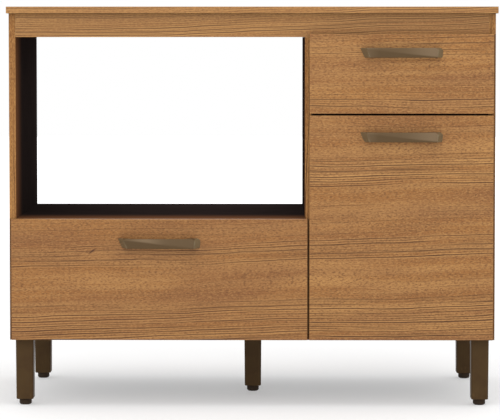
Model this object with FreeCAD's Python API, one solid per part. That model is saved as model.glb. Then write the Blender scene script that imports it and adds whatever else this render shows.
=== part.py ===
"""Cooktop base cabinet: a flat-pack kitchen cabinet on five tapered legs.

Left: an open-backed appliance niche over one wide drawer.  Right: one drawer
over one door.  The top has a cut-out for a drop-in hob.  Lengths are in
millimetres.  X runs to the right as seen from the front, Y to the back, Z up.
The origin is on the floor, in the middle of the overall box.
"""
import FreeCAD, Part
import os
from FreeCAD import Vector

# Carcass
top_width = 1100.0
top_thickness = 15.0
top_side_overhang = 4.0
top_front_overhang = 20.0
cabinet_height = 900.0
board = 15.0
back_board = 3.0
back_panel_inset = 1.0
niche_width = 650.0
front_rail_height = 53.0
back_rail_height = 50.0
divider_rail_depth = 70.0
edge_round = 1.0
edge_ease = 0.6

# Hob cut-out in the top
hob_cut_width = 555.0
hob_cut_to_rail = 6.0
hob_cut_corner = 8.0

# Door and drawer fronts
front_thickness = 15.0
front_clearance = 2.5
front_gap = 4.5
side_reveal = 5.5
bottom_reveal = 1.5
wide_front_height = 272.5
small_front_height = 178.0
small_front_overlap = 7.0

# Drawer boxes and their ball-bearing slides
drawer_board = 12.0
drawer_bottom = 3.0
drawer_length = 450.0
drawer_back_clearance = 47.0
bottom_rise = 10.0
groove_depth = 6.0
groove_play = 0.3
wide_box_height = 190.0
small_box_height = 110.0
box_lift = 11.0
slide_thickness = 12.7
slide_height = 45.0
slide_wall = 1.2
slide_lip_inset = 2.2
slide_lip = 2.0
middle_web = 4.0
middle_drop = 3.0
middle_lip_inset = 1.4
middle_lip = 1.1
inner_drop = 6.2
inner_flange = 5.6
inner_lip = 0.7
slide_set_back = 3.0
slide_rise = 50.0
slide_stop = 20.0

# Inner shelf of the door compartment
shelf_set_back = 40.0
shelf_side_play = 1.0
shelf_height_in_bay = 230.0
pin_radius = 2.5
pin_length = 16.0
pin_depth = 8.0
pin_play = 0.1
pin_from_edge = 50.0
pin_sides = 12

# Legs and levelling feet
leg_height = 150.0
leg_top_size = 40.0
leg_foot_size = 38.0
leg_corner = 3.0
leg_chamfer = 1.5
leg_inset_side = 11.5
leg_inset_front = 10.0
leg_inset_back = 14.0
foot_radius = 14.0
foot_height = 13.0
foot_chamfer = 3.0
foot_sides = 40
foot_gap = 0.3
stem_radius = 4.0
stem_length = 22.0
stem_play = 0.05
stem_sides = 24
stud_radius = 4.0
stud_length = 12.0
stud_play = 0.2
stud_sides = 16

# Handles
handle_length = 186.0
handle_height = 22.0
handle_reach = 27.0
handle_bar = 8.0
handle_foot = 17.0
handle_flare = 13.0
handle_slant = 10.0
handle_nose = 2.0
handle_nose_round = 9.0
handle_corner_round = 2.5
handle_crown_round = 6.0
handle_finger_round = 4.0
handle_twist = 5.5
small_handle_drop = 42.0
door_handle_drop = 48.0
wide_handle_drop = 54.0
screw_spacing = 160.0
screw_radius = 2.0
screw_play = 0.25
screw_grip = 9.0
screw_head_radius = 4.2
screw_head_height = 2.2
screw_sides = 12

# Cup hinges of the door
hinge_drop = 90.0
cup_radius = 17.5
cup_depth = 12.0
cup_wall = 0.7
cup_from_edge = 3.0
cup_rim = 1.0
cup_wing_length = 52.0
cup_wing_width = 14.0
cup_wing_corner = 4.0
hinge_pin_radius = 1.5
hinge_pin_play = 0.05
hinge_pin_from_edge = 6.4
hinge_pin_depth = 9.0
hinge_pin_length = 13.4
ear_play = 0.3
ear_wall = 1.2
knuckle_wall = 0.6
arm_thickness = 2.0
arm_neck_width = 7.0
arm_width = 17.0
arm_wall = 1.4
arm_stand_off = 12.4
arm_lift = 0.7
neck_lap = 4.0
neck_bend = 3.0
arm_start = 18.0
arm_length = 42.0
plate_thickness = 9.0
plate_width = 13.0
plate_length = 34.0
plate_round = 2.0
plate_foot = 2.0
plate_foot_length = 46.0
plate_foot_width = 12.0
plate_foot_start = 12.0
door_swing = 95.0

# Cam locks of the board joints and rubber bumpers behind the fronts
cam_radius = 7.5
cam_depth = 12.0
cam_from_end = 24.0
cam_from_edge = 95.0
cam_play = 0.1
cam_sides = 16
bumper_radius = 4.0
bumper_thickness = 2.2
bumper_from_end = 30.0
bumper_sides = 16

# Length by which a piece of a solid runs into the piece that it is joined to or cut from,
# and the distance within which two places count as one
overlap = 1.0
same_place = 0.01

# Places worked out from the sizes above
carcass_depth = drawer_length + drawer_back_clearance + back_board
slide_length = drawer_length
slide_travel = slide_length - slide_stop
handle_out = front_clearance + front_thickness + handle_reach
front_y = (handle_out - carcass_depth) / 2
back_y = front_y + carcass_depth
board_back_y = back_y - back_board
half_width = top_width / 2 - top_side_overhang
left_inner = -half_width + board
right_inner = half_width - board
partition_left = left_inner + niche_width
partition_right = partition_left + board
partition_middle = (partition_left + partition_right) / 2
base_top = leg_height + board
side_top = cabinet_height - top_thickness
rail_bottom = side_top - front_rail_height
face_back = front_y - front_clearance
face_front = face_back - front_thickness
fronts_bottom = leg_height + bottom_reveal
wide_front_top = fronts_bottom + wide_front_height
shelf_top = wide_front_top
small_front_top = rail_bottom + small_front_overlap
small_front_bottom = small_front_top - small_front_height
door_top = small_front_bottom - front_gap
divider_middle = door_top + front_gap / 2
divider_top = divider_middle + board / 2
divider_bottom = divider_middle - board / 2
wide_front_right = partition_middle - front_gap / 2
bay_front_left = partition_middle + front_gap / 2
bay_front_right = half_width - side_reveal


def block(x0, x1, y0, y1, z0, z1):
    """Box between two corners."""
    return Part.makeBox(x1 - x0, y1 - y0, z1 - z0, Vector(x0, y0, z0))


def prism(points, travel):
    """Flat closed outline, extruded along a vector."""
    outline = Part.makePolygon(points + points[:1])
    return Part.Face(outline).extrude(travel)


def polyhedron(corners, faces):
    """Solid between flat faces, each a list of corner numbers."""
    sides = []
    for numbers in faces:
        loop = [corners[number] for number in numbers]
        sides.append(Part.Face(Part.makePolygon(loop + loop[:1])))
    return Part.Solid(Part.Shell(sides))


def round_edges(solid, radius, chosen):
    """Fillet the edges whose every end point passes the given test."""
    edges = [edge for edge in solid.Edges if all(chosen(v.Point) for v in edge.Vertexes)]
    return solid.makeFillet(radius, edges)


def round_corners(solid, radius, travel, corners):
    """Fillet the edges that run from the given outline corners along the travel of a prism."""
    edges = []
    for corner in corners:
        middle = corner + travel * 0.5
        edges += [edge for edge in solid.Edges if edge.CenterOfMass.distanceToPoint(middle) < same_place]
    return solid.makeFillet(radius, edges)


def ease_front(solid):
    """Small chamfer round the front face of a board that starts at the carcass front."""
    edges = [edge for edge in solid.Edges if all(v.Y < front_y + same_place for v in edge.Vertexes)]
    return solid.makeChamfer(edge_ease, edges)


def regular_outline(centre, axis, radius, sides):
    """Regular polygon about a centre, square to an axis along X, Y or Z."""
    start = axis.cross(Vector(axis.z, axis.x, axis.y)) * radius
    corners = []
    for number in range(sides + 1):
        turn = FreeCAD.Rotation(axis, 360.0 * number / sides)
        corners.append(centre + turn.multVec(start))
    return Part.makePolygon(corners)


def round_bar(centre, axis, radius, length, sides):
    """Round bar with a limited number of flats, from a centre along a unit axis."""
    return Part.Face(regular_outline(centre, axis, radius, sides)).extrude(axis * length)


def bent_sheet(points, thickness, travel):
    """Folded sheet: a path of straight runs with mitred bends, given a thickness and extruded.

    At each point the sheet's two faces are set off along the mean of the
    normals of the runs that meet there.
    """
    across = Vector(travel).normalize()
    normals = []
    for start, end in zip(points, points[1:]):
        normals.append(across.cross((end - start).normalize()))
    mitres = [normals[0]]
    for before, after in zip(normals, normals[1:]):
        mitres.append((before + after) * (1 / (1 + before.dot(after))))
    mitres.append(normals[-1])
    one_side = [point + mitre * (thickness / 2) for point, mitre in zip(points, mitres)]
    other_side = [point - mitre * (thickness / 2) for point, mitre in zip(points, mitres)]
    return prism(one_side + other_side[::-1], travel)


def save(node, solids):
    """Write one node to its STEP file."""
    shape = solids[0] if len(solids) == 1 else Part.makeCompound(solids)
    shape.exportStep("parts/" + node + ".step")


def leg_centres():
    """Name and centre of each leg: four corners and one in the middle."""
    across = half_width - leg_inset_side - leg_top_size / 2
    near = front_y + leg_inset_front + leg_top_size / 2
    far = back_y - leg_inset_back - leg_top_size / 2
    return {
        "front_left": (-across, near),
        "front_right": (across, near),
        "back_left": (-across, far),
        "back_right": (across, far),
        "centre": (0.0, (near + far) / 2),
    }


def make_top():
    """Top board with eased edges and a hob cut-out with rounded corners."""
    top_front = front_y - top_front_overhang
    board_solid = block(-top_width / 2, top_width / 2, top_front, back_y, side_top, cabinet_height)
    board_solid = round_edges(board_solid, edge_round, lambda p: p.y < top_front + same_place)
    half = hob_cut_width / 2
    near = front_y + board + hob_cut_to_rail
    far = board_back_y - board - hob_cut_to_rail
    cutter = block(-half, half, near, far, side_top - board, cabinet_height + board)
    upright = [edge for edge in cutter.Edges if abs(edge.Vertexes[0].Z - edge.Vertexes[1].Z) > board]
    cutter = cutter.makeFillet(hob_cut_corner, upright)
    save("top_board", [board_solid.cut(cutter)])


def pin_places():
    """Height and Y of the four shelf pins, as (x of the board face, inward sign, y, z)."""
    z = base_top + shelf_height_in_bay - pin_radius
    near = front_y + shelf_set_back + pin_from_edge
    far = board_back_y - pin_from_edge
    return [
        (partition_right, 1, near, z),
        (partition_right, 1, far, z),
        (right_inner, -1, near, z),
        (right_inner, -1, far, z),
    ]


def drill_pin_holes(solid, face_x):
    """Blind holes for the shelf pins in the board whose face is at face_x."""
    for x, inward, y, z in pin_places():
        if x == face_x:
            start = Vector(x - inward * pin_depth, y, z)
            hole = round_bar(start, Vector(inward, 0, 0), pin_radius + pin_play, pin_depth, pin_sides)
            solid = solid.cut(hole)
    return solid


def cam_places():
    """Board, mouth centre and inward axis of each cam lock."""
    up = Vector(0, 0, 1)
    places = []
    for y in (front_y + cam_from_edge, board_back_y - cam_from_edge):
        for x in (left_inner + cam_from_end, right_inner - cam_from_end):
            places.append(("base_board", Vector(x, y, leg_height), up))
        for x in (left_inner + cam_from_end, partition_left - cam_from_end):
            places.append(("niche_shelf", Vector(x, y, shelf_top - board), up))
        places.append(("partition", Vector(partition_right, y, base_top + cam_from_end), Vector(-1, 0, 0)))
    return places


def cut_cam_pockets(solid, name):
    """Blind round pockets for the cam locks of one board."""
    for board_name, centre, axis in cam_places():
        if board_name == name:
            solid = solid.cut(round_bar(centre, axis, cam_radius + cam_play, cam_depth, cam_sides))
    return solid


def make_bumpers():
    """Rubber dots on the carcass front edges, which the closed fronts rest against."""
    back = Vector(0, 1, 0)
    heights = {
        "wide": (leg_height + board / 2, shelf_top - board / 2),
        "door": (leg_height + board / 2, divider_bottom + board / 4),
    }
    spans = {
        "wide": (left_inner + bumper_from_end, partition_left - bumper_from_end),
        "door": (partition_right + bumper_from_end, right_inner - bumper_from_end),
    }
    dots = []
    for front in ("wide", "door"):
        for z in heights[front]:
            for x in spans[front]:
                start = Vector(x, front_y - bumper_thickness, z)
                dots.append(round_bar(start, back, bumper_radius, bumper_thickness, bumper_sides))
    save("bumpers", dots)


def make_carcass():
    """Upright boards, base, shelf, rails and thin backs."""
    left = block(-half_width, left_inner, front_y, board_back_y, leg_height, side_top)
    save("side_left", [ease_front(left)])
    right = block(right_inner, half_width, front_y, board_back_y, leg_height, side_top)
    save("side_right", [drill_pin_holes(ease_front(right), right_inner)])
    partition = block(partition_left, partition_right, front_y, board_back_y, base_top, rail_bottom)
    partition = drill_pin_holes(ease_front(partition), partition_right)
    save("partition", [cut_cam_pockets(partition, "partition")])

    base = ease_front(block(left_inner, right_inner, front_y, board_back_y, leg_height, base_top))
    up = Vector(0, 0, 1)
    for x, y in leg_centres().values():
        mouth = Vector(x, y, leg_height)
        base = base.cut(round_bar(mouth, up, stud_radius + stud_play, stud_length + stud_play, stud_sides))
    save("base_board", [cut_cam_pockets(base, "base_board")])
    shelf = block(left_inner, partition_left, front_y, board_back_y, shelf_top - board, shelf_top)
    save("niche_shelf", [cut_cam_pockets(ease_front(shelf), "niche_shelf")])
    cams = []
    cam_height = cam_depth - 2 * cam_play
    for _, centre, axis in cam_places():
        start = centre + axis * (2 * cam_play)
        cams.append(round_bar(start, axis, cam_radius, cam_height, cam_sides))
    save("cam_locks", cams)

    rail = block(left_inner, right_inner, front_y, front_y + board, rail_bottom, side_top)
    save("front_rail", [ease_front(rail)])
    rail_front = board_back_y - board
    rail_low = side_top - back_rail_height
    save("back_rail", [block(left_inner, right_inner, rail_front, board_back_y, rail_low, side_top)])
    divider_back = front_y + divider_rail_depth
    divider = block(partition_right, right_inner, front_y, divider_back, divider_bottom, divider_top)
    save("divider_rail", [ease_front(divider)])

    low = leg_height + back_panel_inset
    outer = half_width - back_panel_inset
    save("back_panel_left", [block(-outer, partition_middle, board_back_y, back_y, low, shelf_top)])
    high = side_top - back_panel_inset
    save("back_panel_right", [block(partition_middle, outer, board_back_y, back_y, low, high)])


def make_inner_shelf():
    """Loose shelf of the door compartment, lying on four round pins."""
    x0 = partition_right + shelf_side_play
    x1 = right_inner - shelf_side_play
    z = base_top + shelf_height_in_bay
    shelf = block(x0, x1, front_y + shelf_set_back, board_back_y - shelf_side_play, z, z + board)
    save("inner_shelf", [shelf])
    pins = []
    for x, inward, y, height in pin_places():
        start = Vector(x - inward * (pin_depth - pin_play), y, height)
        pins.append(round_bar(start, Vector(inward, 0, 0), pin_radius, pin_length, pin_sides))
    save("shelf_pins", pins)


def square(x, y, z, size):
    """Square outline with cut corners, centred on x and y."""
    half = size / 2
    cut = half - leg_corner
    corners = []
    for u, v in ((1, 1), (-1, 1), (-1, -1), (1, -1)):
        pair = [Vector(x + u * half, y + v * cut, z), Vector(x + u * cut, y + v * half, z)]
        corners += pair if u * v > 0 else pair[::-1]
    return Part.makePolygon(corners + corners[:1])


def make_legs():
    """Tapered legs with the stud that screws into the base board, and the levelling feet."""
    up = Vector(0, 0, 1)
    leg_bottom = foot_height + foot_gap
    for name, (x, y) in leg_centres().items():
        sections = [
            square(x, y, leg_bottom, leg_foot_size - 2 * leg_chamfer),
            square(x, y, leg_bottom + leg_chamfer, leg_foot_size),
            square(x, y, leg_height, leg_top_size),
        ]
        body = Part.makeLoft(sections, True, True)
        stud_start = Vector(x, y, leg_height - overlap)
        stud = round_bar(stud_start, up, stud_radius, stud_length + overlap, stud_sides)
        hole_start = Vector(x, y, leg_bottom)
        stem_hole = Part.makeCylinder(stem_radius + stem_play, stem_length + overlap, hole_start)
        save("leg_" + name, [body.fuse(stud).removeSplitter().cut(stem_hole)])

        pad = round_bar(Vector(x, y, 0), up, foot_radius, foot_height, foot_sides)
        rim = [edge for edge in pad.Edges if all(v.Z < foot_gap for v in edge.Vertexes)]
        pad = pad.makeChamfer(foot_chamfer, rim)
        stem_start = Vector(x, y, foot_height - overlap)
        stem = round_bar(stem_start, up, stem_radius, stem_length + overlap, stem_sides)
        save("foot_" + name, [pad.fuse(stem).removeSplitter()])


def screw_axes(x, z):
    """Centres of the two screws of the handle at x and z, on the back of the front."""
    half = screw_spacing / 2
    return [Vector(x - half, face_back, z), Vector(x + half, face_back, z)]


def drill_screw_holes(panel, x, z):
    """Clearance holes through a door or drawer front for the screws of its handle."""
    for start in screw_axes(x, z):
        hole = round_bar(start, Vector(0, -1, 0), screw_radius + screw_play, front_thickness, screw_sides)
        panel = panel.cut(hole)
    return panel


def make_handle_screws(node, x, z):
    """Two pan-head screws that hold a handle from behind its front."""
    forward = Vector(0, -1, 0)
    screws = []
    for start in screw_axes(x, z):
        shank = round_bar(start, forward, screw_radius, front_thickness + screw_grip, screw_sides)
        head = round_bar(start, -forward, screw_head_radius, screw_head_height, screw_sides)
        screws.append(shank.fuse(head).removeSplitter())
    save(node, screws)


def make_handle(node, x, z):
    """Bow handle whose front is two flat facets that meet in a diagonal ridge.

    The outline seen from the front, the outline seen from above and the
    twisted front are three solids, and the handle is what they share.
    """
    half = handle_length / 2
    up = handle_height / 2
    tip = face_back - front_thickness - handle_reach
    base = face_front
    outward = Vector(0, -handle_reach, 0)
    front_outline = [
        Vector(x - half, base, z + up),
        Vector(x + half, base, z + up),
        Vector(x + half - handle_nose, base, z - up),
        Vector(x - half + handle_slant, base, z - up),
    ]
    seen_from_front = prism(front_outline, outward)
    seen_from_front = round_corners(seen_from_front, handle_nose_round, outward, front_outline[1:2])
    seen_from_front = round_corners(seen_from_front, handle_corner_round, outward, front_outline[2:])
    inside = base - handle_reach + handle_bar
    foot = half - handle_foot
    crown = half - handle_flare
    plan_outline = [
        Vector(x - half, base, z - up),
        Vector(x - crown, tip, z - up),
        Vector(x + crown, tip, z - up),
        Vector(x + half, base, z - up),
        Vector(x + foot, base, z - up),
        Vector(x + foot - handle_flare, inside, z - up),
        Vector(x - foot + handle_flare, inside, z - up),
        Vector(x - foot, base, z - up),
    ]
    upward = Vector(0, 0, handle_height)
    seen_from_above = prism(plan_outline, upward)
    seen_from_above = round_corners(seen_from_above, handle_crown_round, upward, plan_outline[1:3])
    seen_from_above = round_corners(seen_from_above, handle_finger_round, upward, plan_outline[5:7])
    corners = [
        Vector(x - half, tip, z + up),
        Vector(x + half, tip, z - up),
        Vector(x + half, tip + handle_twist, z + up),
        Vector(x - half, tip + handle_twist, z - up),
        Vector(x - half, base, z + up),
        Vector(x + half, base, z + up),
        Vector(x + half, base, z - up),
        Vector(x - half, base, z - up),
    ]
    faces = [
        [0, 1, 2],
        [0, 3, 1],
        [0, 2, 5, 4],
        [3, 7, 6, 1],
        [0, 4, 7, 3],
        [1, 6, 5, 2],
        [4, 5, 6, 7],
    ]
    handle = seen_from_front.common(seen_from_above).common(polyhedron(corners, faces))
    for start in screw_axes(x, z):
        mouth = Vector(start.x, face_front, z)
        handle = handle.cut(round_bar(mouth, Vector(0, -1, 0), screw_radius, screw_grip, screw_sides))
    save(node, [handle])
    make_handle_screws(node + "_screws", x, z)


def make_front(x0, x1, z0, z1, handle_drop):
    """Door or drawer front with its face edges eased, drilled for its handle."""
    panel = block(x0, x1, face_front, face_back, z0, z1)
    panel = round_edges(panel, edge_round, lambda p: p.y < face_front + same_place)
    return drill_screw_holes(panel, (x0 + x1) / 2, z1 - handle_drop)


def slide_section(member):
    """Half profile of one slide member, mirrored about its middle height.

    Each point is the distance from the cabinet wall and the height above the
    slide's middle, on the centre line of the sheet.
    """
    sheet = slide_wall / 2
    top = slide_height / 2 - sheet
    depth = slide_thickness
    if member == "outer":
        lip = depth - slide_lip_inset
        half = [(sheet, top), (lip, top), (lip, top - slide_lip)]
    elif member == "middle":
        top -= middle_drop
        lip = depth - middle_lip_inset
        half = [(middle_web, top), (lip, top), (lip, top - middle_lip)]
    else:
        top -= inner_drop
        half = [(depth - sheet, top), (inner_flange, top), (inner_flange, top + inner_lip)]
    mirrored = [(u, -v) for u, v in half]
    return half[::-1] + mirrored


def make_slide(node, member, wall_x, inward, z):
    """One member of a telescopic slide, on the wall at wall_x."""
    start = front_y + slide_set_back
    points = [Vector(wall_x + inward * u, start, z + v) for u, v in slide_section(member)]
    save(node, [bent_sheet(points, slide_wall, Vector(0, slide_length, 0))])


def make_drawer(name, left, right, box_bottom, box_height, front):
    """Drawer box between two bay walls, with its slides.

    The front is given as (x0, x1, z0, z1, drop of the handle below the top).
    """
    x0 = left + slide_thickness
    x1 = right - slide_thickness
    box_back = front_y + drawer_length
    box_top = box_bottom + box_height
    floor_z = box_bottom + bottom_rise
    floor_top = floor_z + drawer_bottom
    inner0 = x0 + drawer_board
    inner1 = x1 - drawer_board
    groove0 = inner0 - groove_depth
    groove1 = inner1 + groove_depth
    groove = block(groove0, groove1, face_back - groove_depth, box_back, floor_z, floor_top + groove_play)
    side_left = block(x0, inner0, face_back, box_back, box_bottom, box_top)
    side_right = block(inner1, x1, face_back, box_back, box_bottom, box_top)
    save(name + "_drawer_side_left", [side_left.cut(groove)])
    save(name + "_drawer_side_right", [side_right.cut(groove)])
    back = block(inner0, inner1, box_back - drawer_board, box_back, floor_top, box_top)
    save(name + "_drawer_back", [back])
    front_panel = make_front(*front)
    save(name + "_drawer_front", [front_panel.cut(groove)])
    sheet = block(groove0 + groove_play, groove1 - groove_play, face_back - groove_depth + groove_play,
                  box_back, floor_z, floor_top)
    save(name + "_drawer_bottom", [sheet])
    slide_z = box_bottom + slide_rise
    for side, wall_x, inward in (("left", left, 1), ("right", right, -1)):
        for member in ("outer", "middle", "inner"):
            make_slide(name + "_slide_" + member + "_" + side, member, wall_x, inward, slide_z)


def hinge_heights():
    """Heights of the two hinge middles."""
    return {"lower": fronts_bottom + hinge_drop, "upper": door_top - hinge_drop}


hinge_x = bay_front_right - hinge_pin_from_edge
hinge_y = face_back - hinge_pin_depth
cup_x = bay_front_right - cup_from_edge - cup_radius


def make_door():
    """Door panel with its two cup bores."""
    panel = make_front(bay_front_left, bay_front_right, fronts_bottom, door_top, door_handle_drop)
    for z in hinge_heights().values():
        bore = Part.makeCylinder(cup_radius, cup_depth, Vector(cup_x, face_back, z), Vector(0, -1, 0))
        panel = panel.cut(bore)
    save("door_panel", [panel])


def make_hinge_cup(node, z):
    """Pressed cup with two screw wings and two ears inside that hold the pin."""
    back = Vector(0, -1, 0)
    mouth = Vector(cup_x, face_back + cup_rim, z)
    cup = Part.makeCylinder(cup_radius, cup_depth + cup_rim, mouth, back)
    half_wing = cup_wing_width / 2
    half_span = cup_wing_length / 2
    wing = block(cup_x - half_wing, cup_x + half_wing, face_back, face_back + cup_rim,
                 z - half_span, z + half_span)
    wing = wing.makeFillet(cup_wing_corner, [e for e in wing.Edges if e.Length < cup_rim + same_place])
    inner_depth = cup_depth - cup_wall + cup_rim
    hollow = Part.makeCylinder(cup_radius - cup_wall, inner_depth, mouth, back)
    shell = cup.fuse(wing).cut(hollow)
    ear_reach = hinge_pin_radius + ear_wall
    inner = arm_neck_width / 2 + ear_play
    outer = hinge_pin_length / 2
    ears = []
    for low, high in ((z - outer, z - inner), (z + inner, z + outer)):
        ear = block(hinge_x - ear_reach, cup_x + cup_radius, hinge_y - ear_reach, face_back, low, high)
        ears.append(ear.common(cup))
    shell = shell.fuse(ears).removeSplitter()
    pin_hole = Part.makeCylinder(hinge_pin_radius, hinge_pin_length,
                                 Vector(hinge_x, hinge_y, z - hinge_pin_length / 2))
    save(node, [shell.cut(pin_hole)])


def make_hinge_arm(node, z):
    """Fixed arm: a channel over the plate, a goose neck and an eye round the pin."""
    arm_x = right_inner - arm_stand_off
    half = arm_neck_width / 2
    channel_front = front_y + arm_start
    neck_points = [
        Vector(arm_x, channel_front + neck_lap, z - half),
        Vector(arm_x, hinge_y + neck_bend, z - half),
        Vector(arm_x + neck_bend, hinge_y, z - half),
        Vector(hinge_x, hinge_y, z - half),
    ]
    neck = bent_sheet(neck_points, arm_thickness, Vector(0, 0, arm_neck_width))
    eye_radius = hinge_pin_radius + hinge_pin_play + knuckle_wall
    eye = Part.makeCylinder(eye_radius, arm_neck_width, Vector(hinge_x, hinge_y, z - half))
    web = arm_width / 2 - arm_wall / 2
    flange_x = right_inner - plate_foot - arm_lift
    channel_points = [
        Vector(flange_x, channel_front, z - web),
        Vector(arm_x, channel_front, z - web),
        Vector(arm_x, channel_front, z + web),
        Vector(flange_x, channel_front, z + web),
    ]
    channel = bent_sheet(channel_points, arm_wall, Vector(0, arm_length, 0))
    pin_hole = Part.makeCylinder(hinge_pin_radius + hinge_pin_play, arm_neck_width,
                                 Vector(hinge_x, hinge_y, z - half))
    save(node, [neck.fuse(eye).fuse(channel).removeSplitter().cut(pin_hole)])


def make_hinges():
    """Cups, pins, arms and mounting plates of both hinges."""
    pins = []
    plates = []
    for place, z in hinge_heights().items():
        make_hinge_cup("hinge_cup_" + place, z)
        make_hinge_arm("hinge_arm_" + place, z)
        pins.append(Part.makeCylinder(hinge_pin_radius, hinge_pin_length,
                                      Vector(hinge_x, hinge_y, z - hinge_pin_length / 2)))
        start = front_y + arm_start + (arm_length - plate_length) / 2
        half = plate_width / 2
        face = right_inner - plate_thickness
        body = block(face, right_inner, start, start + plate_length, z - half, z + half)
        body = round_edges(body, plate_round, lambda p: p.x < face + same_place)
        half_foot = plate_foot_length / 2
        foot_front = start + plate_foot_start
        foot = block(right_inner - plate_foot, right_inner, foot_front, foot_front + plate_foot_width,
                     z - half_foot, z + half_foot)
        plates.append(body.fuse(foot).removeSplitter())
    save("hinge_pins", pins)
    save("hinge_plates", plates)


def main():
    """Build every node."""
    os.makedirs("parts", exist_ok=True)
    make_top()
    make_carcass()
    make_inner_shelf()
    make_legs()
    make_bumpers()
    left = -half_width + side_reveal
    wide_front = (left, wide_front_right, fronts_bottom, wide_front_top, wide_handle_drop)
    make_drawer("wide", left_inner, partition_left, base_top + box_lift, wide_box_height, wide_front)
    small_front = (bay_front_left, bay_front_right, small_front_bottom, small_front_top, small_handle_drop)
    make_drawer("small", partition_right, right_inner, divider_top + box_lift, small_box_height, small_front)
    make_door()
    make_hinges()
    bay_middle = (bay_front_left + bay_front_right) / 2
    make_handle("wide_drawer_handle", (left + wide_front_right) / 2, wide_front_top - wide_handle_drop)
    make_handle("small_drawer_handle", bay_middle, small_front_top - small_handle_drop)
    make_handle("door_handle", bay_middle, door_top - door_handle_drop)


main()
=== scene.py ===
"""Finish of the cooktop base cabinet: wood print, bronze handles, legs, fittings and a stage.

The file is laid out as an add-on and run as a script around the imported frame.
Lengths are in metres, X to the right, Y to the back, Z up.
"""

import math

import bmesh
import bpy
import numpy as np
from bpy.props import FloatProperty, FloatVectorProperty, IntProperty, PointerProperty
from mathutils import Euler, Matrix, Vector


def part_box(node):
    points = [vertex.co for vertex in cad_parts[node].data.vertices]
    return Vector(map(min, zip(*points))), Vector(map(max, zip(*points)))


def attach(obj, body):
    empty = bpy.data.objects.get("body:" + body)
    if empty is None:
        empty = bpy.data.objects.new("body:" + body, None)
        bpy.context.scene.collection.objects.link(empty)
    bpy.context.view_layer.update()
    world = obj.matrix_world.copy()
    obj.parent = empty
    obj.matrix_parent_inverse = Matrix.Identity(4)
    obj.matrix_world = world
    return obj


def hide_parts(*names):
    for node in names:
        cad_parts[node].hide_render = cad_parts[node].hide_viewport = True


bl_info = {
    "name": "Cooktop Cabinet Finish",
    "version": (1, 0, 0),
    "blender": (4, 5, 0),
    "location": "View3D > Sidebar > Cabinet",
    "description": "Wood print, bronze handles, fittings and a stage for the cooktop base cabinet",
    "category": "Object",
}

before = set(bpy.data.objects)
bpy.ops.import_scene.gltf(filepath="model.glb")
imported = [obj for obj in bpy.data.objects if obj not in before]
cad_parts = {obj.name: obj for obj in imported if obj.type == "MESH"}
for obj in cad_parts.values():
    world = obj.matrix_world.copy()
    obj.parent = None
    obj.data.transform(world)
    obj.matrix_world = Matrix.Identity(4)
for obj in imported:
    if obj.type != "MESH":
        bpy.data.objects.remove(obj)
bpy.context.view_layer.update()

MM = 0.001
WHITE = (1.0, 1.0, 1.0)
BACK = (0, 1, 0)
DOWN = (0, 0, -1)
LEFT = (-1, 0, 0)
RIGHT = (1, 0, 0)


def srgb(red, green, blue):
    """Scene-linear colour of an eight-bit screen colour."""
    values = np.array([red, green, blue]) / 255
    low = values / 12.92
    high = ((values + 0.055) / 1.055) ** 2.4
    return tuple(float(v) for v in np.where(values <= 0.04045, low, high))


def shaded(tone, factor):
    """A colour made darker or lighter by a factor, and no brighter than white."""
    return [min(1.0, part * factor) for part in tone]


def colour(name, description, red, green, blue):
    """A colour property with a screen colour as its default."""
    return FloatVectorProperty(
        name=name, description=description, default=srgb(red, green, blue), min=0.0, max=1.0, subtype="COLOR"
    )


def length(name, description, millimetres):
    """A length property with its default in millimetres."""
    return FloatProperty(
        name=name, description=description, default=millimetres * MM, unit="LENGTH", precision=4
    )


def angle(name, description, degrees):
    """An angle property with its default in degrees."""
    return FloatProperty(
        name=name, description=description, default=math.radians(degrees), subtype="ANGLE"
    )


def number(name, description, default, **limits):
    """A plain number, with limits or a unit where it has them."""
    return FloatProperty(name=name, description=description, default=default, **limits)


class CabinetWood(bpy.types.PropertyGroup):
    """Colours and measures of the wood print."""

    honey: colour("Honey", "Main colour of the print", 161, 109, 54)
    pale: colour("Pale", "Light stretches between the lines", 189, 140, 82)
    russet: colour("Russet", "Broad darker and redder bands", 127, 80, 45)
    line: colour("Line", "Thin dark growth lines", 74, 42, 18)
    pore: colour("Pore", "Short fine dashes", 110, 70, 36)
    # Painted shade: the inner faces are near black-brown, standing for the deep shade inside the cabinet.
    inner: colour("Inner face", "Dark inner faces", 43, 35, 33)
    inner_shade_line: colour("Inner line", "Grain lines of the dark inner faces", 32, 26, 25)
    # Painted light: a paler brown near the front edge of the dark faces, fading inwards as light falls off.
    inner_painted_light: colour("Inner lip", "Dark faces near the front edge", 112, 73, 48)
    inner_painted_light_depth: length("Inner lip depth", "How far the paler brown runs in", 150.0)
    hardboard: colour("Hardboard", "Backs and drawer bottoms", 118, 84, 56)
    chip: colour("Chipboard", "Raw core at the cut edges", 176, 144, 104)
    line_spacing: length("Line spacing", "Mean distance between growth lines", 11.0)
    rise: number("Rise", "Climb of the lines to the right, per metre", 0.026)
    wave: length("Wave", "Height of the broad waves of the lines", 14.0)
    roughness: number("Roughness", "Roughness of the satin surface", 0.46, min=0.0, max=1.0, subtype="FACTOR")


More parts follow.
